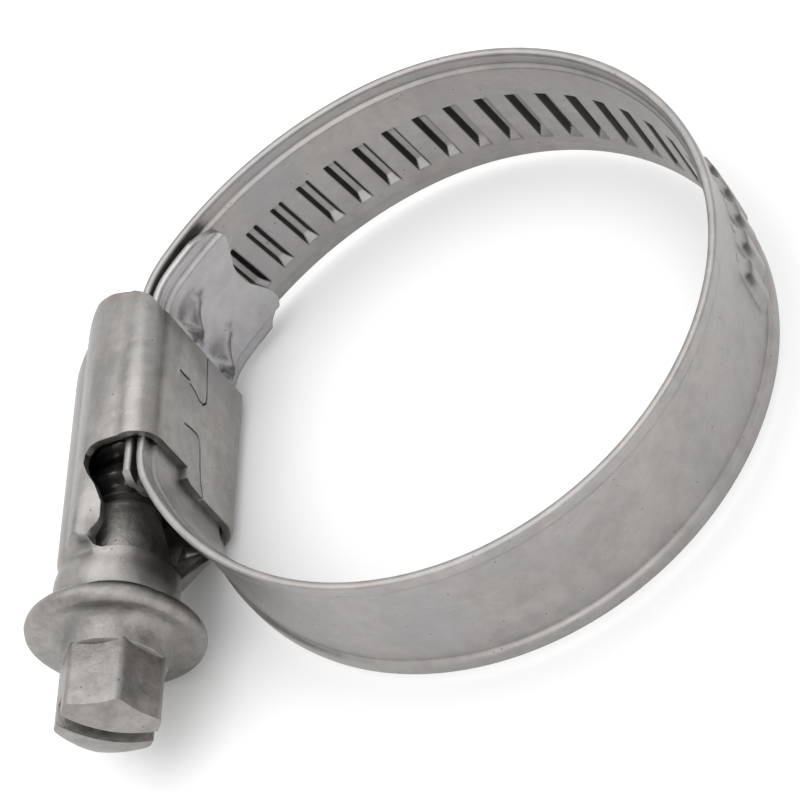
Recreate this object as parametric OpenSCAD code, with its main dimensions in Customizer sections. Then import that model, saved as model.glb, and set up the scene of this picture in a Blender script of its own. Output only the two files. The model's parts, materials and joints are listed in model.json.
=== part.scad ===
// Worm-drive hose clamp, fully open, in millimetres.
// The band loop lies round the Z axis and the screw runs along X on the -Y side.

/* [Loop] */
// Inner radius of the band loop
loop_r = 21.5; // [16:0.1:30]
// Width of the band
band_w = 12; // [8:0.5:14]
// Thickness of the band sheet
band_t = 0.6; // [0.5:0.05:0.9]
// How far the band's two margins stand out from its middle
margin_rise = 0.3; // [0.1:0.05:0.4]
// Width of each raised margin
margin_w = 1.3; // [0.8:0.1:2]
// Number of equal sections in the round part of the loop
round_sections = 7; // [5:1:9]
// Slit between neighbouring sections of the band
section_gap = 0.16; // [0.1:0.02:0.3]

/* [Thread ribs] */
// Pitch of the ribs and of the worm thread
pitch = 2.57; // [2:0.01:3.5]
// Length of a rib across the band
rib_len = 5.3; // [4:0.1:8]
// Offset of the ribs' middle from the band's middle
rib_z = -1.1; // [-2:0.1:2]
// Height of a rib above the band
rib_h = 0.5; // [0.4:0.05:0.6]
// Width of a rib at its foot
rib_w = 1.15; // [0.8:0.05:1.4]
// Slant of the ribs
rib_slant = 7.4; // [0:0.1:12]
// Distance from the tip mouth, along the band, to the first rib that can be counted
rib_from_mouth = 11.37; // [8:0.01:14]
// Number of ribs on the loop
loop_ribs = 22; // [5:1:26]

/* [Housing] */
// Distance from the loop's centre to the housing's flat hose face
saddle_y = 20.1; // [15:0.1:30]
// Thickness of the housing sheet
sheet_t = 0.6; // [0.5:0.05:0.7]
// Half length of the housing's box part
box_half = 5.6; // [4:0.1:8]
// Outer radius of the bends beside the hose face
bend_r = 1.6; // [1.2:0.1:2.5]
// Outer half width of the housing
box_w2 = 7; // [6.8:0.1:8]
// Outer radius of the tube round the screw
tube_r = 4.85; // [4.8:0.05:5.2]
// Distance from the loop's centre to the screw axis
screw_y = 25.7; // [20:0.1:34]
// Where the tube half ends and the collar starts
tube_end = 12.4; // [9:0.1:16]
// Outer radius of the collar round the screw's neck
collar_r = 4.1; // [3.8:0.1:4.8]
// Where the collar ends
collar_end = 15.1; // [13:0.1:18]

/* [Screw] */
// Outer radius of the worm thread
crest_r = 3.2; // [3:0.05:3.3]
// Depth of the worm thread
thread_depth = 0.9; // [0.6:0.05:1.2]
// Radius of the neck in the collar
neck_r = 3.2; // [2.8:0.05:3.6]
// Radius of the flange under the head
flange_r = 6.5; // [5.5:0.1:8]
// Thickness of the flange at its rim
flange_t = 1.7; // [1:0.1:2.5]
// Hexagon across flats
hex_af = 7; // [6:0.5:10]
// Height of the hexagon above the flange
hex_h = 7.3; // [5:0.1:12]
// Turn of the hexagon and its slot about the screw, as it stands
hex_turn = 18.3; // [0:0.1:60]
// Width of the driver slot
slot_w = 1.4; // [0.8:0.1:2]
// Depth of the driver slot
slot_d = 2.2; // [1:0.1:3]

/* [Hidden] */
$fn = 96;
steel = [0.66, 0.65, 0.64];
steel_dark = [0.55, 0.54, 0.53];

loop_mid = loop_r + band_t / 2;
fixed_y = saddle_y + sheet_t + band_t / 2;
free_gap = 0.4;
free_y = fixed_y + band_t + free_gap;
turn_r = 6;
tip_turn = 8;
tongue_turn = 5;
head_x = 6.2;
mouth_x = 6;
head_join = 60;
tip_join = 75;
tongue_join = 60;
tongue_mid = loop_mid - 1.2;
tongue_a = 42;
inner_len = 4;
fit = 0.05;

// A half path leaves a mouth at (e, -h) along X, turns on radius t and meets the
// circle of radius r at angle phi. These give the wide arc between the two.
function dir(a) = [sin(a), -cos(a)];
function join_r(r, h, e, phi, t) =
    let (d = r * dir(phi) - [e, t - h])
    (t * t - d * d) / (2 * (t - d * dir(phi)));
function join_c(r, h, e, phi, t) = (r - join_r(r, h, e, phi, t)) * dir(phi);
function join_a(r, h, e, phi, t) =
    let (v = [e, t - h] - join_c(r, h, e, phi, t))
    atan2(v[0], -v[1]);

head_r2 = join_r(loop_mid, fixed_y, head_x, head_join, turn_r);
head_c2 = join_c(loop_mid, fixed_y, head_x, head_join, turn_r);
head_a2 = join_a(loop_mid, fixed_y, head_x, head_join, turn_r);
tip_r2 = join_r(loop_mid, free_y, mouth_x, tip_join, tip_turn);
tip_c2 = join_c(loop_mid, free_y, mouth_x, tip_join, tip_turn);
tip_a2 = join_a(loop_mid, free_y, mouth_x, tip_join, tip_turn);
ton_r2 = join_r(tongue_mid, fixed_y, head_x, tongue_join, tongue_turn);
ton_c2 = join_c(tongue_mid, fixed_y, head_x, tongue_join, tongue_turn);
ton_a2 = join_a(tongue_mid, fixed_y, head_x, tongue_join, tongue_turn);

// Arcs of the loop from the head mouth round to the tip mouth:
// [centre, radius, start angle, end angle], angles from -Y towards +X.
head_half = (head_join + head_a2) / 2;
tip_step = (tip_join - tip_a2) / 4;
round_step = (360 - head_join - tip_join) / round_sections;
tip_c = [-tip_c2[0], tip_c2[1]];
ARCS = concat(
    [[[head_x, turn_r - fixed_y], turn_r, 0, head_a2]],
    [[head_c2, head_r2, head_a2, head_half]],
    [[head_c2, head_r2, head_half, head_join]],
    [for (i = [0:round_sections - 1])
        [[0, 0], loop_mid, head_join + i * round_step, head_join + (i + 1) * round_step]],
    [[tip_c, tip_r2, 360 - tip_join, 360 - tip_join + 2 * tip_step]],
    [[tip_c, tip_r2, 360 - tip_join + 2 * tip_step, 360 - tip_join + 3 * tip_step]],
    [[tip_c, tip_r2, 360 - tip_join + 3 * tip_step, 360 - tip_a2]],
    [[[-mouth_x, tip_turn - free_y], tip_turn, 360 - tip_a2, 360]]
);

function arc_len(a) = a[1] * (a[3] - a[2]) * PI / 180;
function len_from(i) = i >= len(ARCS) ? 0 : arc_len(ARCS[i]) + len_from(i + 1);

// Cross-section of the band: x is the distance from the arc's centre, y is Z.
module band_profile(r) {
    w2 = band_w / 2;
    f = w2 - margin_w;
    k = w2 - margin_w + 0.4;
    i = r - band_t / 2;
    o = r + band_t / 2;
    polygon([
        [i, -f], [i, f], [i + margin_rise, k], [i + margin_rise, w2],
        [o + margin_rise, w2], [o + margin_rise, k], [o, f], [o, -f],
        [o + margin_rise, -k], [o + margin_rise, -w2],
        [i + margin_rise, -w2], [i + margin_rise, -k]
    ]);
}

// Stands a drawing of the Y-Z plane up along X.
module along_x(x0, x1) {
    translate([x0, 0, 0])
        rotate([90, 0, 90])
            linear_extrude(height = x1 - x0)
                children();
}

// A strip of band that lies along X, with its middle surface at y = -h.
module straight_band(x0, x1, h) {
    along_x(x0, x1) mirror([1, 0]) band_profile(h);
}

module band_arc(c, r, a0, a1) {
    translate([c[0], c[1], 0])
        rotate([0, 0, a0 - 90])
            rotate_extrude(angle = a1 - a0)
                band_profile(r);
}

// One pressed rib, standing out along -Y from the plane y = 0 at the origin.
module rib(foot, top, height, length) {
    rotate([0, rib_slant, 0])
        translate([0, 0, rib_z - length / 2])
            linear_extrude(height = length)
                polygon([
                    [-foot / 2, 0.05], [foot / 2, 0.05],
                    [foot / 2, 0], [top / 2, -height],
                    [-top / 2, -height], [-foot / 2, 0]
                ]);
}

module rib_out() {
    translate([0, -band_t / 2, 0])
        rib(rib_w, rib_w * 0.5, rib_h, rib_len);
}

module rib_in() {
    translate([0, band_t / 2, 0])
        rib(rib_w * 0.62, rib_w * 0.3, rib_h, rib_len - 0.9);
}

module on_arc(a, s_from_mouth, i) {
    turn = (s_from_mouth - len_from(i + 1)) / a[1] * 180 / PI;
    translate([a[0][0], a[0][1], 0])
        rotate([0, 0, a[3] - turn])
            translate([0, -a[1], 0])
                children();
}

// Section i of the loop with the ribs that fall on it.
module band_section(i) {
    a = ARCS[i];
    slit = section_gap / 2 / a[1] * 180 / PI;
    s0 = len_from(i + 1);
    s1 = len_from(i);
    ribs = [for (k = [-4:loop_ribs - 1])
        let (s = rib_from_mouth + k * pitch)
        if (s > s0 + rib_w * 0.8 && s < s1 - rib_w * 0.8) s];
    color(steel)
        difference() {
            union() {
                band_arc(a[0], a[1], a[2] + slit, a[3] - slit);
                for (s = ribs)
                    on_arc(a, s, i) rib_out();
            }
            for (s = ribs)
                on_arc(a, s, i) rib_in();
        }
}

// Outline of the housing in a plane across the screw: x is Y, y is Z.
// grow is negative for the inside of the sheet.
module housing_outline(grow) {
    rb = bend_r + grow;
    rt = tube_r + grow;
    cb = [bend_y, box_w2 - bend_r];
    ct = [-screw_y, 0];
    d = cb - ct;
    n = atan2(d[1], d[0]) + acos((rt - rb) / norm(d));
    u = [cos(n), sin(n)];
    for (s = [-1, 1])
        translate([cb[0], s * cb[1]]) circle(r = rb);
    translate(ct) circle(r = rt);
    polygon([
        [cb[0] + rb, -cb[1]], [cb[0] + rb, cb[1]], cb, cb + rb * u,
        ct + rt * u, ct,
        [ct[0] + rt * u[0], -ct[1] - rt * u[1]],
        [cb[0] + rb * u[0], -cb[1] - rb * u[1]], [cb[0], -cb[1]]
    ]);
}
bend_y = -saddle_y - bend_r;

module housing_shell() {
    tip_x = -box_half;
    cut_y = -screw_y + 0.6;
    color(steel) {
        difference() {
            along_x(tip_x, tube_end) housing_outline(0);
            along_x(tip_x - 1, tube_end + 1) housing_outline(-sheet_t);
            // the box part stops here, and only the outer half goes on as a tube
            translate([box_half + 0.8, cut_y, -10]) cube([20, 20, 20]);
            // the sloped end of the tube at the tip
            translate([tip_x, -screw_y - tube_r, 0])
                rotate([0, 0, 58])
                    translate([-10, -10, -10])
                        cube([10, 20, 20]);
        }
        // collar crimped round the neck
        difference() {
            along_x(tube_end, collar_end) translate([-screw_y, 0]) circle(r = collar_r);
            along_x(tube_end - 1, collar_end + 1) translate([-screw_y, 0]) circle(r = neck_r + fit);
        }
        // shoulder between the tube half and the collar
        difference() {
            along_x(tube_end - sheet_t, tube_end) translate([-screw_y, 0]) circle(r = tube_r);
            along_x(tube_end - 1, tube_end + 1) translate([-screw_y, 0]) circle(r = neck_r + fit);
            translate([0, cut_y, -10]) cube([20, 20, 20]);
        }
    }
}

// Middle line of the tongue, from the tip mouth to its end:
// [x, y, angle of the outward normal from -Y towards -X].
TONGUE = concat(
    [[-head_x - section_gap / 2, -fixed_y, 0]],
    [for (i = [1:6])
        let (a = ton_a2 * i / 6)
        [-head_x - tongue_turn * sin(a), tongue_turn - fixed_y - tongue_turn * cos(a), a]],
    [for (i = [1:6])
        let (a = ton_a2 + (tongue_a - ton_a2) * i / 6)
        [-ton_c2[0] - ton_r2 * sin(a), ton_c2[1] - ton_r2 * cos(a), a]]
);

function beside(p, d) = [p[0] - d * sin(p[2]), p[1] - d * cos(p[2])];

// A strip on the tongue's line between heights z0 and z1, moved out by rise.
module tongue_strip(z0, z1, rise) {
    n = len(TONGUE) - 1;
    translate([0, 0, z0])
        linear_extrude(height = z1 - z0)
            polygon(concat(
                [for (i = [0:n]) beside(TONGUE[i], rise - band_t / 2)],
                [for (i = [0:n]) beside(TONGUE[n - i], rise + band_t / 2)]
            ));
}

// The end of the band that is held in the housing.
module band_fixed_end() {
    slit = section_gap / 2;
    color(steel)
        straight_band(-head_x + slit, head_x - slit, fixed_y);
}

// The scalloped tongue in which the held end runs out, under the loop.
module band_tongue() {
    w2 = band_w / 2;
    k = w2 - margin_w + 0.4;
    tip = TONGUE[len(TONGUE) - 1];
    color(steel)
        difference() {
            union() {
                // a hair forward, so that no two end faces share a plane
                translate([-0.01, 0, 0]) tongue_strip(-k - 0.1, k + 0.1, 0);
                tongue_strip(-w2, -k, margin_rise);
                tongue_strip(k, w2, margin_rise);
            }
            // a round bay leaves two lobes
            translate([tip[0], tip[1], 0.2])
                rotate([0, 0, -tip[2]])
                    translate([-1.6, 0, 0])
                        rotate([90, 0, 0])
                            cylinder(r = 3.6, h = 4, center = true);
        }
}

// The stretch of the drawn-in end that is just inside the tip mouth.
module band_inner_section() {
    slit = section_gap / 2;
    color(steel)
        ribbed_strip(-mouth_x + slit, -mouth_x + inner_len - slit);
}

// The end of the band that the screw draws in.
module band_free_end() {
    tail_x = 9.2;
    color(steel_dark)
        difference() {
            ribbed_strip(-mouth_x + inner_len + section_gap / 2, tail_x);
            translate([tail_x + 2.4, -free_y, 0])
                rotate([90, 0, 0])
                    cylinder(r = 4, h = 4, center = true);
        }
}

module ribbed_strip(x0, x1) {
    phase = -mouth_x - rib_from_mouth;
    ribs = [for (k = [4:8])
        let (x = phase + k * pitch)
        if (x > x0 + rib_w * 0.8 && x < x1 - 1.5) x];
    difference() {
        union() {
            straight_band(x0, x1, free_y);
            for (x = ribs)
                translate([x, -free_y, 0]) rib_out();
        }
        for (x = ribs)
            translate([x, -free_y, 0]) rib_in();
    }
}

// Single-start right-hand worm with neck, flange and slotted hexagon head.
module worm_screw() {
    thread_x0 = -5.1;
    thread_x1 = 6.3;
    turns = (thread_x1 - thread_x0) / pitch;
    phase = -mouth_x - rib_from_mouth + 5 * pitch;
    start = 180 + 360 * (thread_x0 - phase) / pitch;
    ecc = thread_depth / 2;
    flange_x = collar_end + 1.1;
    hex_x = flange_x + flange_t;
    end_x = hex_x + hex_h;
    translate([0, -screw_y, 0]) {
        color(steel_dark)
            translate([thread_x0, 0, 0])
                rotate([90, 0, 90])
                    rotate([0, 0, start])
                        linear_extrude(height = thread_x1 - thread_x0, twist = -360 * turns, slices = 62, $fn = 28)
                            translate([ecc, 0])
                                circle(r = crest_r - ecc, $fn = 28);
        color(steel)
            difference() {
                union() {
                    rotate([0, 90, 0])
                        rotate_extrude()
                            polygon([
                                [0, thread_x1 - 0.4], [2.4, thread_x1 - 0.4], [2.6, thread_x1 + 0.6],
                                [neck_r, thread_x1 + 3.2], [neck_r, flange_x],
                                [flange_r - 0.5, flange_x], [flange_r, flange_x + 0.5],
                                [flange_r, flange_x + flange_t - 0.5],
                                [flange_r - 0.6, flange_x + flange_t - 0.1],
                                [4.8, flange_x + flange_t - 0.1],
                                [4.2, flange_x + flange_t + 0.7],
                                [3.9, flange_x + flange_t + 1.6],
                                [0, flange_x + flange_t + 1.6]
                            ]);
                    intersection() {
                        translate([hex_x - 0.4, 0, 0])
                            rotate([0, 90, 0])
                                rotate([0, 0, hex_turn])
                                    cylinder(r = hex_af / sqrt(3), h = hex_h + 0.4, $fn = 6);
                        translate([end_x - 9, 0, 0]) sphere(r = 9);
                    }
                }
                rotate([-60 + hex_turn, 0, 0])
                    translate([end_x - slot_d, -10, -slot_w / 2])
                        cube([slot_d + 1, 20, slot_w]);
            }
    }
}

housing_shell();
band_fixed_end();
band_tongue();
worm_screw();
band_free_end();
band_section(0);  // band_section_01
band_section(1);  // band_section_02
band_section(2);  // band_section_03
band_section(3);  // band_section_04
band_section(4);  // band_section_05
band_section(5);  // band_section_06
band_section(6);  // band_section_07
band_section(7);  // band_section_08
band_section(8);  // band_section_09
band_section(9);  // band_section_10
band_section(10);  // band_section_11
band_section(11);  // band_section_12
band_section(12);  // band_section_13
band_section(13);  // band_section_14
band_inner_section();  // band_section_15
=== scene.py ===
"""Looks of a worm-drive hose clamp: band strip, folded housing and slotted hexagon screw."""

import json
import math

import bpy
import numpy as np
from bpy.props import FloatProperty, FloatVectorProperty, IntProperty, PointerProperty
from mathutils import Matrix, Vector

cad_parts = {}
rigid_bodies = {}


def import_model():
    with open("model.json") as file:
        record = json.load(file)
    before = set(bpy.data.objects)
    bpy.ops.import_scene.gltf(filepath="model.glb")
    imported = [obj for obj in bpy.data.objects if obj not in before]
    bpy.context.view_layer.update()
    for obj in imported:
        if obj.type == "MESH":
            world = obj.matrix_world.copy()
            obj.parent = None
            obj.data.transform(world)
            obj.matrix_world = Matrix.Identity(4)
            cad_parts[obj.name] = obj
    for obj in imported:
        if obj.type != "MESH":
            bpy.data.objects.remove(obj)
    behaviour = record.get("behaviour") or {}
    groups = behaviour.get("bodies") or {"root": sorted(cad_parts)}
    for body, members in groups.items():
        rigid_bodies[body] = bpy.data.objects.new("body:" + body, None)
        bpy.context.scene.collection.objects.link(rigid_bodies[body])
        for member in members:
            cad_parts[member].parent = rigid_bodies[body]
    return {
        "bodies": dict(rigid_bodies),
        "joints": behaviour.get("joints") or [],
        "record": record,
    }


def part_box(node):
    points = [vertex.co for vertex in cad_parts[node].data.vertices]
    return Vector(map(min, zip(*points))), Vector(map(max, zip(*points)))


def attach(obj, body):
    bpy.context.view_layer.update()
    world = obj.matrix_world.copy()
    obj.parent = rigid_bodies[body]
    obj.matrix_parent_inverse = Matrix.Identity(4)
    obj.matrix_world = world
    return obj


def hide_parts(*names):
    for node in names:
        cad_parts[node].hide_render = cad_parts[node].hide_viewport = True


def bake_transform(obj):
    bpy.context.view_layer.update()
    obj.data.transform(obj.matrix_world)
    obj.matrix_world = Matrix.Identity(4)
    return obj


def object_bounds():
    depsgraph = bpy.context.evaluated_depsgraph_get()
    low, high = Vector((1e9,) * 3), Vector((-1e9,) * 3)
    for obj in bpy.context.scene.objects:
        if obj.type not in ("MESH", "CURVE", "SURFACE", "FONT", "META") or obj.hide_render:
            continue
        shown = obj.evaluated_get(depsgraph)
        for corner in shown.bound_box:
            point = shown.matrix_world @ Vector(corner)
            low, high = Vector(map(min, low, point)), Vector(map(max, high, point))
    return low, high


bl_info = {
    "name": "Hose Clamp",
    "version": (1, 0, 0),
    "blender": (4, 5, 0),
    "location": "3D View > Sidebar > Clamp",
    "description": "Builds the visual pieces of a worm-drive hose clamp",
    "category": "Add Mesh",
}

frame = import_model()
CAD_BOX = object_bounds()

MM = 0.001
MOUNTS = {m["name"]: m for m in frame["record"]["mounts"]}
JOINTS = {j["name"]: j for j in frame["joints"]}
LINKS = sorted(n for n in frame["bodies"] if n.startswith("link_"))
LOOP_R = MOUNTS["hose_seat"]["dims"]["r_mm"]
BAND_W = MOUNTS["hose_seat"]["dims"]["length_mm"]
SADDLE_Y = -MOUNTS["housing_saddle"]["pos_m"][1] / MM
SCREW_Y = -JOINTS["screw_turn"]["pos_m"][1] / MM
HEAD_X = -JOINTS["tongue_press"]["pos_m"][0] / MM
FIXED_Y = -JOINTS["tongue_press"]["pos_m"][1] / MM
MOUTH_X = -JOINTS["flex_15"]["pos_m"][0] / MM
FREE_Y = -JOINTS["flex_15"]["pos_m"][1] / MM
HEX_X = MOUNTS["screw_head"]["pos_m"][0] / MM
HEX_H = MOUNTS["screw_head"]["dims"]["length_mm"]


class BandSizes(bpy.types.PropertyGroup):
    """Sizes of the band strip."""

    sheet: FloatProperty(name="Sheet", description="Thickness of the strip", default=0.6 * MM, unit="LENGTH")
    rise: FloatProperty(
        name="Margin rise", description="How far the margins stand out",
        default=0.32 * MM, unit="LENGTH")
    margin: FloatProperty(
        name="Margin width", description="Width of each raised margin",
        default=1.3 * MM, unit="LENGTH")
    pitch: FloatProperty(
        name="Rib pitch", description="Distance between thread ribs",
        default=2.57 * MM, unit="LENGTH")
    first_rib: FloatProperty(
        name="First rib", description="From the tip mouth to the first counted rib",
        default=11.37 * MM, unit="LENGTH")
    ribs: IntProperty(name="Ribs", description="Thread ribs on the loop", default=21, min=1, max=40)
    rib_length: FloatProperty(
        name="Rib length", description="Length of a rib across the band",
        default=5.3 * MM, unit="LENGTH")
    rib_middle: FloatProperty(
        name="Rib offset", description="Middle of the ribs from the middle of the band",
        default=-1.1 * MM, unit="LENGTH")
    rib_depth: FloatProperty(
        name="Rib depth", description="Depth of a pressed rib",
        default=0.6 * MM, unit="LENGTH")
    slant: FloatProperty(
        name="Rib slant", description="Slant of the ribs",
        default=math.radians(7.4), unit="ROTATION")


class HousingSizes(bpy.types.PropertyGroup):
    """Sizes of the folded housing."""

    sheet: FloatProperty(
        name="Sheet", description="Thickness of the housing sheet",
        default=0.6 * MM, unit="LENGTH")
    half_width: FloatProperty(
        name="Half width", description="Outer half width of the box part",
        default=6.95 * MM, unit="LENGTH")
    bend: FloatProperty(
        name="Bend", description="Outer radius of the bends beside the hose face",
        default=1.9 * MM, unit="LENGTH")
    tube: FloatProperty(
        name="Tube radius", description="Outer radius round the screw",
        default=4.65 * MM, unit="LENGTH")
    collar: FloatProperty(
        name="Collar radius", description="Outer radius of the crimped collar",
        default=4.1 * MM, unit="LENGTH")
    edge: FloatProperty(
        name="Edge rounding", description="Rounding of the cut edges",
        default=0.09 * MM, unit="LENGTH")


class ScrewSizes(bpy.types.PropertyGroup):
    """Sizes of the worm screw."""

    crest: FloatProperty(
        name="Crest radius", description="Outer radius of the worm thread",
        default=3.2 * MM, unit="LENGTH")
    depth: FloatProperty(
        name="Thread depth", description="Depth of the worm thread",
        default=0.9 * MM, unit="LENGTH")
    neck: FloatProperty(
        name="Neck radius", description="Radius of the neck in the collar",
        default=3.2 * MM, unit="LENGTH")
    flange: FloatProperty(
        name="Flange radius", description="Radius of the flange",
        default=6.5 * MM, unit="LENGTH")
    across: FloatProperty(
        name="Across flats", description="Hexagon size across flats",
        default=6.9 * MM, unit="LENGTH")
    slot: FloatProperty(
        name="Slot width", description="Width of the driver slot",
        default=1.4 * MM, unit="LENGTH")
    slot_depth: FloatProperty(
        name="Slot depth", description="Depth of the driver slot",
        default=2.2 * MM, unit="LENGTH")


class SteelLook(bpy.types.PropertyGroup):
    """Colours of the stainless steels and of the stage."""

    band: FloatVectorProperty(
        name="Band", description="Steel of the band",
        subtype="COLOR", size=3, min=0, max=1, default=(0.315, 0.302, 0.294))
    housing: FloatVectorProperty(
        name="Housing", description="Steel of the housing",
        subtype="COLOR", size=3, min=0, max=1, default=(0.29, 0.278, 0.268))
    screw: FloatVectorProperty(
        name="Screw", description="Steel of the screw",
        subtype="COLOR", size=3, min=0, max=1, default=(0.27, 0.258, 0.246))
    floor: FloatVectorProperty(
        name="Floor", description="Colour of the floor",
        subtype="COLOR", size=3, min=0, max=1, default=(0.9, 0.9, 0.9))


def sizes():
    scene = bpy.context.scene
    return scene.clamp_band, scene.clamp_housing, scene.clamp_screw, scene.clamp_look


# ---------------------------------------------------------------- mesh tools


def deselect():
    if bpy.context.object and bpy.context.object.mode != "OBJECT":
        bpy.ops.object.mode_set(mode="OBJECT")
    bpy.ops.object.select_all(action="DESELECT")


def pick(piece):
    deselect()
    piece.select_set(True)
    bpy.context.view_layer.objects.active = piece


def edit(piece):
    pick(piece)
    bpy.ops.object.mode_set(mode="EDIT")


def done():
    bpy.ops.object.mode_set(mode="OBJECT")


def named(name):
    piece = bpy.context.object
    piece.name = piece.data.name = name
    return piece


def settle(piece):
    """Puts a piece's place into its mesh."""
    pick(piece)
    bpy.ops.object.transform_apply(location=True, rotation=True, scale=True)


def smooth(piece, angle=50):
    pick(piece)
    bpy.ops.object.shade_smooth_by_angle(angle=math.radians(angle))


def heal(piece, distance=1e-7):
    """Merges doubles and turns all faces outwards."""
    edit(piece)
    bpy.ops.mesh.select_all(action="SELECT")
    bpy.ops.mesh.remove_doubles(threshold=distance)
    bpy.ops.mesh.normals_make_consistent(inside=False)
    done()


def apply_all(piece):
    pick(piece)
    for m in list(piece.modifiers):
        bpy.ops.object.modifier_apply(modifier=m.name)


def add(piece, kind, **values):
    m = piece.modifiers.new(kind.lower(), kind)
    for k, v in values.items():
        setattr(m, k, v)
    apply_all(piece)


def cut(piece, tool, how="DIFFERENCE"):
    add(piece, "BOOLEAN", object=tool, operation=how, solver="EXACT")
    bpy.data.objects.remove(tool)


def laid_grid(name, points):
    """A grid primitive whose vertices are laid on points, an array of rows x columns x 3 in mm."""
    rows, columns = points.shape[:2]
    deselect()
    bpy.ops.mesh.primitive_grid_add(x_subdivisions=columns - 1, y_subdivisions=rows - 1, size=1)
    piece = named(name)
    piece.data.vertices.foreach_set("co", (points.reshape(-1) * MM).astype(np.float32))
    piece.data.update()
    return piece


def ring_grid(name, rings, marks=None):
    """Closed skin over rings (count x ring x 3). The first and last ring are flattened by the caller, to shut it.
    Marks, if given, are stored on the points as a mask of painted shade.
    """
    piece = laid_grid(name, np.concatenate([rings, rings[:, :1]], axis=1))
    if marks is not None:
        values = np.concatenate([marks, marks[:, :1]], axis=1).reshape(-1).astype(np.float32)
        piece.data.attributes.new("pressed", "FLOAT", "POINT").data.foreach_set("value", values)
    heal(piece, 2e-7)
    return piece


def prism(name, outline, axis, low, high):
    """Prism over an outline in the two other axes, from low to high along axis, in mm."""
    others = [k for k in range(3) if k != axis]
    count = len(outline)
    deselect()
    bpy.ops.mesh.primitive_circle_add(vertices=count, fill_type="NGON", radius=1)
    piece = named(name)
    for v, at in zip(piece.data.vertices, outline):
        co = [0, 0, 0]
        co[others[0]], co[others[1]], co[axis] = at[0] * MM, at[1] * MM, low * MM
        v.co = co
    edit(piece)
    bpy.ops.mesh.select_all(action="SELECT")
    move = [0, 0, 0]
    move[axis] = (high - low) * MM
    bpy.ops.mesh.extrude_region_move(TRANSFORM_OT_translate={"value": move})
    bpy.ops.mesh.select_all(action="SELECT")
    bpy.ops.mesh.normals_make_consistent(inside=False)
    done()
    return piece


def ramp(x, low, high):
    t = np.clip((x - low) / (high - low), 0, 1)
    return t * t * (3 - 2 * t)


# ---------------------------------------------------------------- band line


def heading(a):
    return np.array([math.sin(a), -math.cos(a)])


def joined(r, h, e, phi, turn):
    """Wide arc between a mouth's bend and the circle of radius r, met at angle phi: (centre, radius, angle)."""
    d = r * heading(phi) - np.array([e, turn - h])
    r2 = (turn**2 - d @ d) / (2 * (turn - d @ heading(phi)))
    c = (r - r2) * heading(phi)
    v = np.array([e, turn - h]) - c
    return c, r2, math.atan2(v[0], -v[1])


TURN, TIP_TURN, TONGUE_TURN = 6.0, 8.0, 5.0
TONGUE_GAP = 1.2  # between the middle surfaces of loop and tongue
SHEET = 0.6
MID_R = LOOP_R + SHEET / 2
HEAD_JOIN, TIP_JOIN, TONGUE_JOIN = math.radians(60), math.radians(75), math.radians(60)
FULL = 2 * math.pi
head_c, head_r, head_a = joined(MID_R, FIXED_Y, HEAD_X, HEAD_JOIN, TURN)
tip_c, tip_r, tip_a = joined(MID_R, FREE_Y, MOUTH_X, TIP_JOIN, TIP_TURN)
tongue_c, tongue_r, tongue_a = joined(MID_R - TONGUE_GAP, FIXED_Y, HEAD_X, TONGUE_JOIN, TONGUE_TURN)
ARCS = [
    (np.array([HEAD_X, TURN - FIXED_Y]), TURN, 0, head_a),
    (head_c, head_r, head_a, HEAD_JOIN),
    (np.zeros(2), MID_R, HEAD_JOIN, FULL - TIP_JOIN),
    (np.array([-tip_c[0], tip_c[1]]), tip_r, FULL - TIP_JOIN, FULL - tip_a),
    (np.array([-MOUTH_X, TIP_TURN - FREE_Y]), TIP_TURN, FULL - tip_a, FULL),
]
LOOP_LEN = sum(r * (b - a) for _, r, a, b in ARCS)


def line_at(s):
    """Place and outward normal of the band's middle line, s mm from the head mouth."""
    s = np.asarray(s, float)
    place = np.zeros(s.shape + (2,))
    normal = np.zeros(s.shape + (2,))
    start = 0.0
    for c, r, a, b in ARCS:
        m = (s >= start) & (s <= start + r * (b - a) + 1e-9)
        ang = a + (s[m] - start) / r
        normal[m] = np.stack([np.sin(ang), -np.cos(ang)], -1)
        place[m] = c + r * normal[m]
        start += r * (b - a)
    m = s > start
    place[m] = np.stack([-MOUTH_X + s[m] - start, np.full(m.sum(), -FREE_Y)], -1)
    normal[m] = (0, -1)
    m = s < 0
    place[m] = np.stack([HEAD_X + s[m], np.full(m.sum(), -FIXED_Y)], -1)
    normal[m] = (0, -1)
    q = -2 * HEAD_X - s
    m = (q > 0) & (q <= TONGUE_TURN * tongue_a)
    ang = q[m] / TONGUE_TURN
    normal[m] = np.stack([-np.sin(ang), -np.cos(ang)], -1)
    place[m] = np.array([-HEAD_X, TONGUE_TURN - FIXED_Y]) + TONGUE_TURN * normal[m]
    m = q > TONGUE_TURN * tongue_a
    ang = tongue_a + (q[m] - TONGUE_TURN * tongue_a) / tongue_r
    normal[m] = np.stack([-np.sin(ang), -np.cos(ang)], -1)
    place[m] = np.array([-tongue_c[0], tongue_c[1]]) + tongue_r * normal[m]
    return place, normal


def hinge_s():
    """Distances along the band of the small hinges, one for each link."""
    out = []
    s = np.linspace(0, LOOP_LEN, 200001)
    at, _ = line_at(s)
    for link in LINKS:
        p = JOINTS[link.replace("link", "flex")]["pos_m"]
        d = (at[:, 0] - p[0] / MM) ** 2 + (at[:, 1] - p[1] / MM) ** 2
        out.append(s[int(d.argmin())])
    return out


# rows across the band, from its lower rim to its upper rim
ROWS = np.array([
    -5.9, -5.6, -5.2, -4.95, -4.83, -4.74, -4.66, -4.58, -4.5, -4.4, -4.2, -4.0, -3.85, -3.75, -3.6, -3.4, -3.2,
    -3.0, -2.88, -2.7, -2.3, -1.6, -0.8, 0, 0.6, 1.0, 1.2, 1.3, 1.4, 1.5, 1.6, 1.8, 2.2, 2.9, 3.6, 4.2, 4.4,
    4.5, 4.58, 4.66, 4.74, 4.83, 4.95, 5.2, 5.6, 5.9,
])


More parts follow.
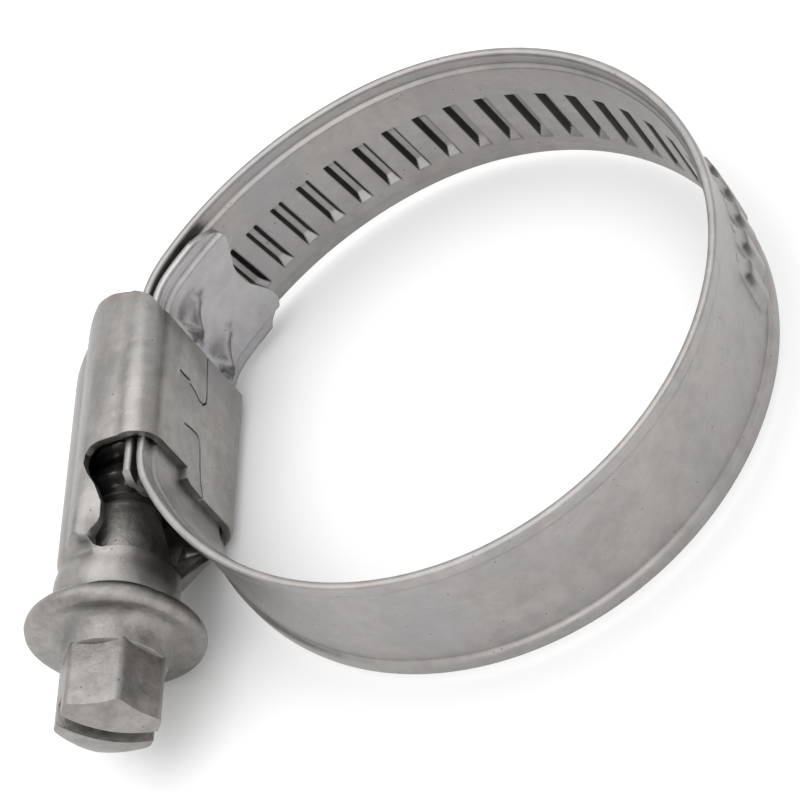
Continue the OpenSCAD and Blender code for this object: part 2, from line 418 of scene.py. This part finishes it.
def rib_places(band):
    """Distances along the band of the rib middles, from the head side."""
    pitch = band.pitch / MM
    first = LOOP_LEN - band.first_rib / MM
    return [first - k * pitch for k in range(-9, band.ribs)]


def column_marks(low, high, ribs, step):
    """Columns from low to high: close together at ribs, wider between."""
    fine = np.array([0, 0.1, 0.19, 0.24, 0.31, 0.39, 0.47, 0.53, 0.6, 0.72, 0.88, 1.02, 1.15])
    fine = np.concatenate([-fine[:0:-1], fine])
    marks = [low, low + 0.02, high - 0.02, high]
    for r in ribs:
        marks += [r + f for f in fine if low + 0.05 < r + f < high - 0.05]
    marks = sorted(marks)
    out = [marks[0]]
    for a, b in zip(marks, marks[1:]):
        if b - a > step:
            n = math.ceil((b - a) / step)
            out += [a + (b - a) * k / n for k in range(1, n)]
        out.append(b)
    return np.array(out)


def rib_lift(u, z, band, outer):
    """Height of a pressed rib at u along and z across the band, and a mask of its steep flanks on which shade is
    painted into the colour.
    """
    low = (band.rib_middle - band.rib_length / 2) / MM
    high = (band.rib_middle + band.rib_length / 2) / MM
    depth = band.rib_depth / MM
    if outer:
        side = (0.98 - np.abs(u)) / 0.6
        foot, top = (z - low + 0.35) / 1.05, (high - 0.7 - z) / 1.1
        t = np.clip(np.minimum(side, np.minimum(foot, top)), 0, 1)
        steep = 4 * t * (1 - t) * ramp(z, high - 3.6, high - 1.7)
        return depth * t * t * (3 - 2 * t), 0.75 * steep * ramp(high - 1.1 - z, 0.0, 0.4)
    side = (0.57 - np.abs(u)) / 0.34
    foot, top = (z - low) / 0.85, (high - z) / 0.22
    t = np.clip(np.minimum(side, np.minimum(foot, top)), 0, 1)
    steep = np.where((side <= foot) | (top < foot), np.sqrt(4 * t * (1 - t)), 0)
    return 1.08 * depth * t, steep


def teardrop(s, z, tip, foot, wide):
    """Height of a pressed stop on the tongue, and painted shade on one flank: narrow at tip, wide and steep at foot
    (s, z).
    """
    along = np.clip((s - tip[0]) / (foot[0] - tip[0]), 0, 1)
    centre = tip[1] + (foot[1] - tip[1]) * along
    off = (z - centre) / (0.35 + (wide - 0.35) * along**0.8)
    body = along**0.8 * ramp(-s, -foot[0] - 0.1, -foot[0] + 0.5)
    inside = ramp(s, tip[0] - 0.2, tip[0] + 1.2) * ramp(-s, -foot[0], -foot[0] + 0.3)
    # painted shade on the stop's far flank
    dark = ramp(0.75 - np.abs(off + 0.35), 0, 0.55) * inside
    return 1.25 * np.clip(1 - off**2, 0, 1) ** 1.2 * body, 0.6 * dark


# tip, foot and half width of each pressed stop
TONGUE_STOPS = (((-16.9, 3.4), (-12.6, 1.5), 1.7), ((-16.9, -1.2), (-12.45, -3.2), 1.95))
END_REACH = 3.0  # how far a cut outline bends the columns beside it, in mm


def strip(name, low, high, step=0.55, low_end=None, high_end=None):
    """One closed stretch of the band between two places along it. An end may follow a cut outline, a function of z."""
    band = sizes()[0]
    half = BAND_W / 2
    t = band.sheet / MM / 2
    ribs = [r for r in rib_places(band) if low - 1.3 < r < high + 1.3]
    s0 = column_marks(low, high, ribs, step)
    lean = math.tan(band.slant)
    z = np.concatenate([ROWS, [half, half], ROWS[::-1], [-half, -half]])
    n = len(ROWS)
    inner = np.concatenate([np.ones(n), np.zeros(2), np.zeros(n), np.zeros(2)])
    bend = 0.11
    depth = np.concatenate([np.full(n, -t), [-t + bend, t - bend], np.full(n, t), [t - bend, -t + bend]])
    side = inner.copy()
    side[n], side[-1] = 1, 1
    s = s0[:, None] + lean * z[None, :]
    if low_end is not None or high_end is not None:
        span = high - low
        w = (s0[:, None] - low) / span
        a = low_end(z)[None, :] if low_end is not None else low + lean * z[None, :]
        b = high_end(z)[None, :] if high_end is not None else high + lean * z[None, :]
        near_low = np.clip(1 - w * span / END_REACH, 0, 1) ** 2 if low_end is not None else 0
        near_high = np.clip(1 - (1 - w) * span / END_REACH, 0, 1) ** 2 if high_end is not None else 0
        s = s + near_low * (a - low - lean * z[None, :]) + near_high * (b - high - lean * z[None, :])
    zz = np.broadcast_to(z[None, :], s.shape)
    lift = (band.rise / MM) * ramp(np.abs(zz), half - band.margin / MM - 0.1, half - band.margin / MM + 0.24)
    # Painted shade mask: the steep rib flanks and one flank of each tongue stop, later darkened in the band colours as
    # shade.
    marks = np.zeros_like(lift)
    for r in ribs:
        u = s - r - lean * zz
        for outer in (False, True):
            height, steep = rib_lift(u, zz, band, outer)
            here = (side[None, :] > 0) != outer
            lift = lift + np.where(here, height, 0)
            marks = np.maximum(marks, np.where(here, steep, 0))
    for tip, foot, wide in TONGUE_STOPS:
        height, shade = teardrop(s, zz, tip, foot, wide)
        lift = lift - height
        marks = np.maximum(marks, np.where(side[None, :] > 0, shade, 0))
    place, normal = line_at(s)
    off = depth[None, :] + lift
    ring = np.concatenate([place + normal * off[..., None], zz[..., None]], -1)
    # the two end faces are closed half way through the sheet
    middle = np.empty_like(ring)
    for k in range(n):
        other = 2 * n + 1 - k
        middle[:, k] = middle[:, other] = (ring[:, k] + ring[:, other]) / 2
    for a, b in ((n, n + 1), (-2, -1)):
        middle[:, a] = middle[:, b] = (ring[:, a] + ring[:, b]) / 2
    rings = np.concatenate([middle[:1], ring, middle[-1:]])
    piece = ring_grid(name, rings, np.concatenate([marks[:1], marks, marks[-1:]]))
    smooth(piece)
    return piece


def edge_line(points, blur=0.25):
    """Smooth outline of a cut end through points (z, place along the band)."""
    fine = np.linspace(-7, 7, 1401)
    flat = np.interp(fine, [p[0] for p in points], [p[1] for p in points])
    kernel = np.exp(-0.5 * (np.arange(-80, 81) * 0.01 / blur) ** 2)
    soft = np.convolve(np.pad(flat, 80, mode="edge"), kernel / kernel.sum(), "valid")
    return lambda z: np.interp(z, fine, soft)


TONGUE_END = edge_line([
    (-6.6, -16.0), (-6.0, -17.6), (-5.4, -19.0), (-4.7, -20.1), (-3.8, -20.55), (-2.8, -20.4), (-2.0, -20.1),
    (-0.8, -19.5), (0.4, -19.25), (1.6, -19.35), (2.6, -19.75), (3.5, -20.2), (4.4, -20.45), (5.0, -20.2),
    (5.5, -19.5), (5.9, -18.3), (6.3, -17.0), (6.6, -16.0),
], 0.18)
TAIL_END = edge_line([
    (-6.4, 6.9), (-5.6, 7.6), (-4.4, 8.1), (-3.2, 8.0), (-1.8, 7.2), (-0.4, 6.9), (1.0, 7.1), (2.2, 7.7),
    (3.4, 8.4), (4.6, 8.4), (5.4, 8.2), (6.0, 7.7), (6.4, 7.2),
])
TONGUE_TIP, TAIL_TIP = -20.2, 8.4  # along the band from the head mouth, and from below the loop's centre
HELD_SEAM, TAIL_SEAM = -1.6, 4.0  # where the loop's pieces end, from the head mouth and from the tip mouth
BLEND_REACH, LAST_REACH = 3.4, 1.2  # reach of the span round each hinge, and past the last hinge; the spans are worked out but not used


# ---------------------------------------------------------------- materials


class Value:
    """A node socket that can be added, multiplied and so on."""

    def __init__(self, tree, socket):
        self.tree, self.socket = tree, socket

    def _math(self, how, a, b):
        node = self.tree.nodes.new("ShaderNodeMath")
        node.operation = how
        for slot, v in zip(node.inputs, (a, b)):
            if isinstance(v, Value):
                self.tree.links.new(v.socket, slot)
            else:
                slot.default_value = v
        return Value(self.tree, node.outputs[0])

    def __add__(self, o):
        return self._math("ADD", self, o)

    def __radd__(self, o):
        return self._math("ADD", o, self)

    def __sub__(self, o):
        return self._math("SUBTRACT", self, o)

    def __rsub__(self, o):
        return self._math("SUBTRACT", o, self)

    def __mul__(self, o):
        return self._math("MULTIPLY", self, o)

    def __rmul__(self, o):
        return self._math("MULTIPLY", o, self)


class Finish:
    """A material with a Principled shader and short ways to add nodes."""

    def __init__(self, name):
        self.material = bpy.data.materials.new(name)
        self.material.use_nodes = True
        self.tree = self.material.node_tree
        self.tree.nodes.clear()
        self.out = self.tree.nodes.new("ShaderNodeOutputMaterial")
        self.shader = self.tree.nodes.new("ShaderNodeBsdfPrincipled")
        self.tree.links.new(self.shader.outputs[0], self.out.inputs[0])

    def node(self, kind, settings=None, values=None, output=0):
        n = self.tree.nodes.new("ShaderNode" + kind)
        for k, v in (settings or {}).items():
            setattr(n, k, v)
        for k, v in (values or {}).items():
            if isinstance(v, Value):
                self.tree.links.new(v.socket, n.inputs[k])
            else:
                n.inputs[k].default_value = v
        return Value(self.tree, n.outputs[output])

    def place(self, scale=(1000, 1000, 1000), turn=(0, 0, 0)):
        where = self.node("TexCoord", output="Object")
        return self.node("Mapping", None, {"Vector": where, "Scale": scale, "Rotation": turn})

    def noise(self, where, scale, detail=3.0, rough=0.55):
        return self.node("TexNoise", None, {"Vector": where, "Scale": scale, "Detail": detail, "Roughness": rough})

    def step(self, x, low, high, out_low=0.0, out_high=1.0):
        return self.node("MapRange", {"interpolation_type": "SMOOTHSTEP"},
                         {"Value": x, "From Min": low, "From Max": high, "To Min": out_low, "To Max": out_high})

    def mix(self, factor, a, b, blend="MIX"):
        def full(c):
            return c if isinstance(c, Value) else (*c, 1.0)

        return self.node("Mix", {"data_type": "RGBA", "blend_type": blend}, {0: factor, 6: full(a), 7: full(b)}, 2)

    def feed(self, **links):
        for k, v in links.items():
            slot = self.shader.inputs[k.replace("_", " ")]
            if isinstance(v, Value):
                self.tree.links.new(v.socket, slot)
            else:
                slot.default_value = v

    def bump(self, height, strength, distance):
        return self.node("Bump", None, {"Height": height, "Strength": strength, "Distance": distance})


def steel(name, colour, rough, mottle=0.12, wear=0.5, forged=0.0, pressed=False):
    """Tumbled stainless steel: soft mottling, tiny pits, hairline scratches and brighter rubbed spots; with pressed,
    painted shade on the flanks marked in the mesh.
    """
    f = Finish(name)
    at = f.place()
    broad = f.noise(at, 0.22, 4.0, 0.6)
    middle = f.noise(at, 0.9, 4.0, 0.6)
    fine = f.noise(at, 6.0, 3.0, 0.6)
    speck = f.noise(at, 16.0, 2.0, 0.5)
    scratch = None
    for i, (turn, stretch) in enumerate(((0.3, 26.0), (1.25, 22.0), (2.3, 30.0))):
        w = f.place((1000 * stretch / 8, 1000 * 0.35, 1000 * stretch / 8), (0.4 * i, 0.7 + 0.5 * i, turn))
        line = f.step(f.noise(w, 1.0, 1.0, 0.4), 0.70, 0.74)
        scratch = line if scratch is None else scratch + line
    pits = f.node("TexVoronoi", {"feature": "F1"}, {"Vector": at, "Scale": 1.15, "Randomness": 1.0})
    pit = f.step(pits, 0.055, 0.10, 1.0, 0.0) * f.step(middle, 0.42, 0.55)
    tone = f.step(broad, 0.36, 0.64) * 0.6 + f.step(middle, 0.38, 0.62) * 0.4
    dark = tuple(c * (1 - mottle) for c in colour)
    light = tuple(min(1.0, c * (1 + mottle)) for c in colour)
    shade = f.mix(tone, dark, light)
    warm = f.step(f.noise(at, 0.35, 2.0, 0.5), 0.5, 0.72)
    shade = f.mix(warm * 0.35, shade, (colour[0] * 1.05, colour[1] * 0.98, colour[2] * 0.99))
    cool = f.step(f.noise(f.place(turn=(1.0, 0.4, 0.2)), 0.16, 2.0, 0.5), 0.5, 0.7)
    shade = f.mix(cool * 0.45, shade, (colour[0] * 0.97, colour[1] * 1.0, colour[2] * 1.07))
    shade = f.mix(pit * 0.75, shade, tuple(c * 0.35 for c in colour))
    shade = f.mix(f.step(speck, 0.62, 0.72) * 0.18, shade, tuple(min(1, c * 1.35) for c in colour))
    shade = f.mix(f.step(scratch, 0.0, 1.0) * 0.16, shade, tuple(min(1, c * 1.3) for c in colour))
    roughness = rough + (tone - 0.5) * 0.10 + (fine - 0.5) * 0.14 + pit * 0.2 - f.step(scratch, 0.0, 1.0) * 0.06
    height = fine * 0.5 + middle * 1.2 + speck * 0.25 - pit * 1.4 + scratch * 0.12 * wear
    if forged:
        dents = f.noise(at, 1.7, 5.0, 0.65)
        height = height + dents * 3.0 * forged
        roughness = roughness + f.step(dents, 0.45, 0.7) * 0.08
    # Painted shade: flanks marked in the 'pressed' attribute are darkened to a tenth of the colour, standing in for
    # shade and dark reflections on steep flanks.
    if pressed:
        flank = f.node("Attribute", {"attribute_name": "pressed"}, output="Fac")
        shade = f.mix(f.step(flank, 0.1, 0.8) * 0.88, shade, tuple(c * 0.1 for c in colour))
        roughness = roughness + flank * 0.12
    f.feed(Base_Color=shade, Metallic=1.0, Roughness=roughness,
           Normal=f.bump(height, 0.35, 0.00006))
    return f.material


# ---------------------------------------------------------------- pieces


def finish_piece(piece, material, body=None, replaces=()):
    piece.data.materials.clear()
    piece.data.materials.append(material)
    if body:
        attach(piece, body)
    if replaces:
        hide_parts(*replaces)
    return piece


def material_of(name, *args, **more):
    return bpy.data.materials.get(name) or steel(name, *args, **more)


def band_steel():
    return material_of("band_steel_satin", tuple(sizes()[3].band), 0.4, pressed=True)


# Painted light: the held end and tongue, the same strip as the band, get a lighter and bluer copy of the band steel
# for the brighter light they show.
def lit_tongue_steel():
    return material_of("band_steel_lit_tongue", tuple(c * t for c, t in zip(sizes()[3].band, (1.2, 1.22, 1.26))), 0.36,
                       pressed=True)


def housing_steel():
    return material_of("housing_steel_satin", tuple(sizes()[3].housing), 0.42, mottle=0.2, wear=0.9)


def screw_steel():
    return material_of("screw_steel_forged", tuple(sizes()[3].screw), 0.44, mottle=0.26, wear=0.6, forged=1.1)


# The thread gets a copy of the screw steel at 0.4 of its colour.
def thread_steel():
    return material_of("screw_steel_darkened", tuple(c * 0.4 for c in sizes()[3].screw), 0.4, mottle=0.2, wear=0.4)


class CLAMP_OT_band_loop(bpy.types.Operator):
    """Lay the loop of the band, one piece over each small hinge"""

    bl_idname = "clamp.band_loop"
    bl_label = "Band loop"

    def execute(self, context):
        hinges = hinge_s()
        ends = [HELD_SEAM] + [(a + b) / 2 for a, b in zip(hinges, hinges[1:])] + [LOOP_LEN + TAIL_SEAM]
        for i, link in enumerate(LINKS):
            low, high, number = ends[i], ends[i + 1], link[-2:]
            gone = ["band_section_" + number]
            if i == 0:
                gone += ["band_section_%02d" % k for k in range(1, int(number))]
            piece = strip("band_bend_" + number, low, high)
            finish_piece(piece, band_steel(), replaces=gone)
            inset = 0.22 * min(hinges[i] - low, high - hinges[i], 3.0)
            start = max(low + inset, hinges[i] - BLEND_REACH)
            stop = min(high - inset, hinges[i] + (LAST_REACH if i + 1 == len(LINKS) else BLEND_REACH))
            a, b = line_at(np.array([start, stop]))[0]
            a[0] * MM
            a[1] * MM
            b[0] * MM
            b[1] * MM
            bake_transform(piece)
        return {"FINISHED"}


class CLAMP_OT_band_ends(bpy.types.Operator):
    """Make the held end with its tongue, and the end that the screw draws in"""

    bl_idname = "clamp.band_ends"
    bl_label = "Band ends"

    def execute(self, context):
        held = strip("band_held_end", TONGUE_TIP, HELD_SEAM, 0.16, low_end=TONGUE_END)
        finish_piece(held, lit_tongue_steel(), replaces=["band_fixed_end", "band_tongue"])
        a, b = line_at(np.array([-2 * HEAD_X + 0.7, -2 * HEAD_X - 0.7]))[0]
        a[0] * MM
        a[1] * MM
        b[0] * MM
        b[1] * MM
        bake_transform(held)
        start = LOOP_LEN + MOUTH_X
        tail = strip("band_tail", LOOP_LEN + TAIL_SEAM, start + TAIL_TIP, 0.3, high_end=lambda z: start + TAIL_END(z))
        finish_piece(tail, band_steel(), "free_end", ["band_free_end"])
        return {"FINISHED"}


def box_outline(housing):
    """Radius of the housing's outer outline round the screw axis: sorted angles from +Y, and radii."""
    rise = SCREW_Y - SADDLE_Y
    bend, tube, width = housing.bend / MM, housing.tube / MM, housing.half_width / MM
    c = np.array([rise - bend, width - bend])
    n = math.atan2(c[1], c[0]) + math.acos((tube - bend) / np.linalg.norm(c))
    flat = [(rise, z) for z in np.linspace(0, width - bend, 12)[:-1]]
    arc = [(c[0] + bend * math.cos(a), c[1] + bend * math.sin(a)) for a in np.linspace(0, n, 24)]
    round_ = [(tube * math.cos(a), tube * math.sin(a)) for a in np.linspace(n, math.pi, 40)]
    pts = np.array(flat + arc + round_)
    ang = np.arctan2(pts[:, 1], pts[:, 0])
    return ang, np.hypot(pts[:, 0], pts[:, 1]), ang[11], ang[34]


def tube_shell(name, stations, shape, angles, sheet):
    """Skin of sheet metal round the screw axis. shape(angle, x) gives (x, outer radius)."""
    rows = []
    for x in stations:
        xs, r = shape(angles, x)
        rows.append(np.stack([xs, -SCREW_Y + r * np.cos(angles), r * np.sin(angles)], -1))
    ring = np.array(rows)
    piece = laid_grid(name, np.concatenate([ring, ring[:, :1]], axis=1))
    heal(piece, 1e-7)
    axis = Vector((0, -SCREW_Y * MM, 0))
    normal = sum(p.normal.dot(p.center - axis - Vector((p.center.x, 0, 0))) for p in piece.data.polygons)
    add(piece, "SOLIDIFY", thickness=sheet, offset=-1 if normal > 0 else 1)
    return piece


class CLAMP_OT_housing(bpy.types.Operator):
    """Fold the housing: box over the band, tube over the thread and collar round the neck"""

    bl_idname = "clamp.housing"
    bl_label = "Housing"

    def execute(self, context):
        housing = sizes()[1]
        tube, collar = housing.tube / MM, housing.collar / MM
        ang, rad, bend_0, bend_1 = box_outline(housing)
        half = np.concatenate([
            np.linspace(0, bend_0, 9)[:-1], np.linspace(bend_0, bend_1, 16)[:-1],
            np.linspace(bend_1, math.pi, 34),
        ])
        angles = np.concatenate([half, -half[-2:0:-1]])

        def box_r(a):
            return np.interp(np.abs(a), ang, rad)

        def shape(a, x):
            outer = ramp(np.abs(a), 1.9, 2.7)
            tip = np.interp(np.degrees(np.abs(a)), (0, 42, 49, 56, 66, 80, 94, 104, 121, 150, 180),
                            (-5.6, -5.6, -5.85, -6.9, -7.7, -8.15, -8.2, -7.4, -5.5, -3.6, -3.0))
            w = np.clip((2.5 - x) / 8.1, 0, 1) ** 1.6
            xs = x + w * (tip + 5.6)
            wall = np.clip((x - 6.6) / 6.4, 0, 1)
            ring = np.clip((x - 11.6) / 0.8, 0, 1)
            ring = ring * ring * (3 - 2 * ring)
            low = ramp(np.abs(a), 1.35, 1.75)
            t = np.where(np.abs(a) < 1.35, wall, wall * (1 - low) + ring * low)
            belly = 0.25 * math.sin(math.pi * min(max((x - 12.4) / 2.7, 0), 1))
            end = collar + belly + (tube - collar - 0.12) * outer
            r = box_r(a) * (1 - t) + end * t
            return xs, r

        stations = [-5.6, -5.2, -4.7, -4.2, -3.4, -1.5, 0.5, 2.5, 4.2, 5.4, 6.2, 7, 8, 9, 10, 11, 11.6, 11.8, 12,
                    12.2, 12.4, 12.8, 13.3, 13.75, 14.2, 14.7, 15.1]
        piece = tube_shell("housing_folded", stations, shape, angles, housing.sheet)
        upper = prism("cut_upper", [
            (5.1, 9), (5.1, 4.6), (5.35, 3.2), (6.25, 0.7), (6.4, -1.2), (6.4, -4.9), (6.75, -6.2), (7.0, -6.55),
            (8.9, -4.85), (12.4, -1.85), (12.4, 9)], 1, -24.4, -17)
        cut(piece, upper)
        side = prism("cut_side", [
            (5.1, -17), (5.1, -21.2), (4.95, -24.6), (5.0, -25.3), (5.35, -25.8), (6.1, -25.95), (7.1, -25.5),
            (8.2, -24.85), (9.4, -24.5), (10.4, -24.7), (11.3, -25.3), (11.8, -25.55), (12.15, -25.45),
            (12.4, -24.9), (12.4, -17)], 2, 1.3, 12)
        cut(piece, side)
        self.lock_seam(piece)
        edit(piece)
        bpy.ops.mesh.select_all(action="SELECT")
        bpy.ops.mesh.remove_doubles(threshold=2e-6)
        bpy.ops.mesh.dissolve_limited(angle_limit=math.radians(0.4))
        done()
        add(piece, "BEVEL", width=housing.edge, segments=2, limit_method="ANGLE", angle_limit=math.radians(48),
            use_clamp_overlap=True)
        smooth(piece, 40)
        finish_piece(piece, housing_steel(), "housing", ["housing_shell"])
        return {"FINISHED"}

    def lock_seam(self, piece):
        """Thin grooves where the sheet's two ends interlock on the hose face."""
        lines = (
            ([(-7.0, -0.1), (-5.4, -0.2), (-3.6, -0.35), (-2.4, -0.5), (-1.6, -0.45), (-1.2, -0.05), (-1.25, 0.5),
              (-1.6, 1.2), (-1.8, 2.0)], 0.17),
            ([(1.9, 2.3), (1.75, 1.2), (1.75, 0.4), (2.1, -0.05), (3.1, -0.2), (4.2, -0.35), (5.1, -0.55),
              (6.0, -0.9), (7.2, -1.4)], 0.17),
            ([(-2.05, 3.5), (-2.0, 2.9), (-2.05, 2.0)], 0.22),
        )
        for i, (line, width) in enumerate(lines):
            left, right = [], []
            for k, p in enumerate(line):
                a, b = line[max(k - 1, 0)], line[min(k + 1, len(line) - 1)]
                d = np.array([b[0] - a[0], b[1] - a[1]])
                n = np.array([-d[1], d[0]]) / np.linalg.norm(d) * width / 2
                left.append((p[0] + n[0], p[1] + n[1]))
                right.append((p[0] - n[0], p[1] - n[1]))
            tool = prism("cut_seam_%d" % i, left + right[::-1], 1, -SADDLE_Y - 0.45, -SADDLE_Y + 0.5)
            cut(piece, tool)


HEX_TURN = -math.radians(11.7)  # brings a corner to 41.7 degrees from +Z towards +Y
SLOT_TURN = math.atan2(-0.665, 0.747)  # lays the slot along y 0.747, z -0.665
DOME_R = 9.6  # radius of the hexagon's domed end, in mm


class CLAMP_OT_screw(bpy.types.Operator):
    """Turn the worm thread, neck, flange and slotted hexagon of the screw"""

    bl_idname = "clamp.screw"
    bl_label = "Worm screw"

    def execute(self, context):
        self.thread()
        self.shank()
        self.hexagon()
        return {"FINISHED"}

    def thread(self):
        band, _, screw, _ = sizes()
        low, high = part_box("worm_screw")[0].x / MM, 7.4
        pitch = band.pitch / MM
        first = -MOUTH_X - band.first_rib / MM
        crest, depth = screw.crest / MM, screw.depth / MM
        ang = np.linspace(0, 2 * math.pi, 73)[:-1]
        xs = np.arange(low, high, pitch / 16)
        rings = []
        for x in xs:
            # a rib on the band stands at phase zero on the band's side of the screw
            turn = ((x - first) / pitch - ang / (2 * math.pi)) % 1.0
            far = np.abs(turn - 0.5) * 2
            r = crest - depth * ramp(far, 0.25, 0.65)
            run = ramp(np.array([x]), low, low + 0.5)[0]
            r = r * (0.82 + 0.18 * run)
            rings.append(np.stack([np.full_like(ang, x), -SCREW_Y + r * np.cos(ang), r * np.sin(ang)], -1))
        rings = np.array(rings)

        def shut(ring):
            out = ring.copy()
            out[:, 1], out[:, 2] = -SCREW_Y, 0
            return out

        piece = ring_grid("screw_thread", np.concatenate([shut(rings[0])[None], rings, shut(rings[-1])[None]]))
        smooth(piece, 40)
        finish_piece(piece, thread_steel(), "screw")

    def shank(self):
        screw = sizes()[2]
        neck, flange = screw.neck / MM, screw.flange / MM
        profile = [
            (6.6, 0.0), (6.6, 2.45), (7.2, 2.5), (8.2, 2.72), (9.2, 3.0), (10.2, 3.24), (10.9, 3.32), (11.5, 3.3),
            (12.2, 3.24), (12.9, neck), (15.0, neck), (15.7, neck + 0.1), (16.05, neck + 0.5), (16.2, 4.4),
            (16.35, flange - 0.9), (16.55, flange - 0.35), (16.85, flange - 0.08), (17.2, flange),
            (17.55, flange - 0.1), (17.8, flange - 0.4), (17.87, flange - 0.8), (17.82, flange - 1.3),
            (17.9, flange - 1.7), (18.15, flange - 2.1), (18.6, flange - 2.4), (19.15, flange - 2.56),
            (19.6, flange - 2.68), (19.8, flange - 3.0), (19.8, 0.0),
        ]
        deselect()
        bpy.ops.mesh.primitive_circle_add(vertices=len(profile), fill_type="NOTHING", radius=1)
        piece = named("screw_shank")
        for v, (x, r) in zip(piece.data.vertices, profile):
            v.co = (x * MM, -SCREW_Y * MM + r * MM, 0)
        edit(piece)
        bpy.ops.mesh.select_all(action="SELECT")
        bpy.ops.mesh.spin(steps=96, angle=2 * math.pi, center=(0, -SCREW_Y * MM, 0), axis=(1, 0, 0))
        bpy.ops.mesh.select_all(action="SELECT")
        bpy.ops.mesh.remove_doubles(threshold=2e-6)
        bpy.ops.mesh.normals_make_consistent(inside=False)
        done()
        smooth(piece, 40)
        finish_piece(piece, screw_steel(), "screw", ["worm_screw"])

    def hexagon(self):
        screw = sizes()[2]
        top = HEX_X + HEX_H / 2 + 0.05
        base = top - HEX_H + 0.3
        deselect()
        bpy.ops.mesh.primitive_cylinder_add(vertices=6, radius=screw.across / math.sqrt(3), depth=(top - base) * MM,
                                            location=((top + base) / 2 * MM, -SCREW_Y * MM, 0),
                                            rotation=(0, math.pi / 2, 0))
        piece = named("screw_hexagon")
        settle(piece)
        about = Vector((0, -SCREW_Y * MM, 0))
        turn = Matrix.Translation(about) @ Matrix.Rotation(HEX_TURN, 4, "X") @ Matrix.Translation(-about)
        piece.data.transform(turn)
        add(piece, "BEVEL", width=0.42 * MM, segments=4, limit_method="ANGLE", angle_limit=math.radians(40))
        deselect()
        bpy.ops.mesh.primitive_uv_sphere_add(segments=96, ring_count=64, radius=DOME_R * MM,
                                             location=((top - DOME_R) * MM, -SCREW_Y * MM, 0))
        ball = named("cut_dome")
        settle(ball)
        cut(piece, ball, "INTERSECT")
        half = screw.slot / MM / 2
        across = [(-9, -half), (9, -half), (9, half), (-9, half)]
        tool = prism("cut_slot", across, 0, top - screw.slot_depth / MM, top + 2)
        spin = Matrix.Translation(about) @ Matrix.Rotation(SLOT_TURN, 4, "X")
        tool.data.transform(spin)
        cut(piece, tool)
        edit(piece)
        bpy.ops.mesh.select_all(action="SELECT")
        bpy.ops.mesh.remove_doubles(threshold=2e-6)
        bpy.ops.mesh.dissolve_limited(angle_limit=math.radians(0.4))
        done()
        add(piece, "BEVEL", width=0.13 * MM, segments=3, limit_method="ANGLE", angle_limit=math.radians(38))
        smooth(piece, 38)
        finish_piece(piece, screw_steel(), "screw")


class CLAMP_OT_stage(bpy.types.Operator):
    """Set the pale floor, the soft lights and the camera"""

    bl_idname = "clamp.stage"
    bl_label = "Stage"

    def execute(self, context):
        look = sizes()[3]
        ground = CAD_BOX[0][2] - 0.00002
        deselect()
        bpy.ops.mesh.primitive_grid_add(x_subdivisions=8, y_subdivisions=8, size=3.0, location=(0, 0, ground))
        floor = named("floor")
        settle(floor)
        f = Finish("floor_white")
        grain = f.noise(f.place((60, 60, 60)), 1.0, 3.0, 0.5)
        f.feed(Base_Color=f.mix(grain, tuple(c * 0.99 for c in look.floor), tuple(look.floor)), Roughness=0.9)
        floor.data.materials.append(f.material)
        world = bpy.data.worlds.new("studio")
        bpy.context.scene.world = world
        world.use_nodes = True
        world.node_tree.nodes["Background"].inputs["Color"].default_value = (1, 1, 1, 1)
        world.node_tree.nodes["Background"].inputs["Strength"].default_value = 1.0
        self.soft_light("key", (-0.25, -0.15, 0.95), 1.1, 5.0)
        self.soft_light("fill", (0.5, 0.1, 0.6), 0.8, 2.0)
        self.camera()
        bpy.context.scene.view_settings.view_transform = "Standard"
        return {"FINISHED"}

    def soft_light(self, name, where, size, power):
        deselect()
        bpy.ops.object.light_add(type="AREA", location=where)
        light = bpy.context.object
        light.name = name
        light.data.size = size
        light.data.energy = power
        light.rotation_euler = Vector(where).to_track_quat("Z", "Y").to_euler()

    def camera(self):
        right = Vector((-0.0326, 0.8971, -0.4406)).normalized()
        up = Vector((-0.8166, 0.2303, 0.5293))
        back = right.cross(up).normalized()
        up = back.cross(right)
        data = bpy.data.cameras.new("camera")
        data.sensor_width = 36.0
        data.lens = 148.35
        data.clip_start = 0.01
        camera = bpy.data.objects.new("camera", data)
        bpy.context.scene.collection.objects.link(camera)
        turn = Matrix((right, up, back)).transposed().to_4x4()
        camera.matrix_world = Matrix.Translation((0.13683, 0.08370, 0.16843)) @ turn
        bpy.context.scene.camera = camera


class CLAMP_PT_panel(bpy.types.Panel):
    """Lists the steps that build the clamp"""

    bl_idname = "CLAMP_PT_panel"
    bl_label = "Hose clamp"
    bl_space_type = "VIEW_3D"
    bl_region_type = "UI"
    bl_category = "Clamp"

    def draw(self, context):
        for step in STEPS:
            self.layout.operator(step.bl_idname)


STEPS = (CLAMP_OT_stage, CLAMP_OT_band_loop, CLAMP_OT_band_ends, CLAMP_OT_housing, CLAMP_OT_screw)
GROUPS = {"clamp_band": BandSizes, "clamp_housing": HousingSizes, "clamp_screw": ScrewSizes, "clamp_look": SteelLook}


def register():
    for c in (*GROUPS.values(), *STEPS, CLAMP_PT_panel):
        bpy.utils.register_class(c)
    for name, group in GROUPS.items():
        setattr(bpy.types.Scene, name, PointerProperty(type=group))


def unregister():
    for name in GROUPS:
        delattr(bpy.types.Scene, name)
    for c in (CLAMP_PT_panel, *STEPS, *GROUPS.values()):
        bpy.utils.unregister_class(c)


def main():
    register()
    bpy.ops.clamp.stage()
    bpy.ops.clamp.band_loop()
    bpy.ops.clamp.band_ends()
    bpy.ops.clamp.housing()
    bpy.ops.clamp.screw()


if __name__ == "__main__":
    main()
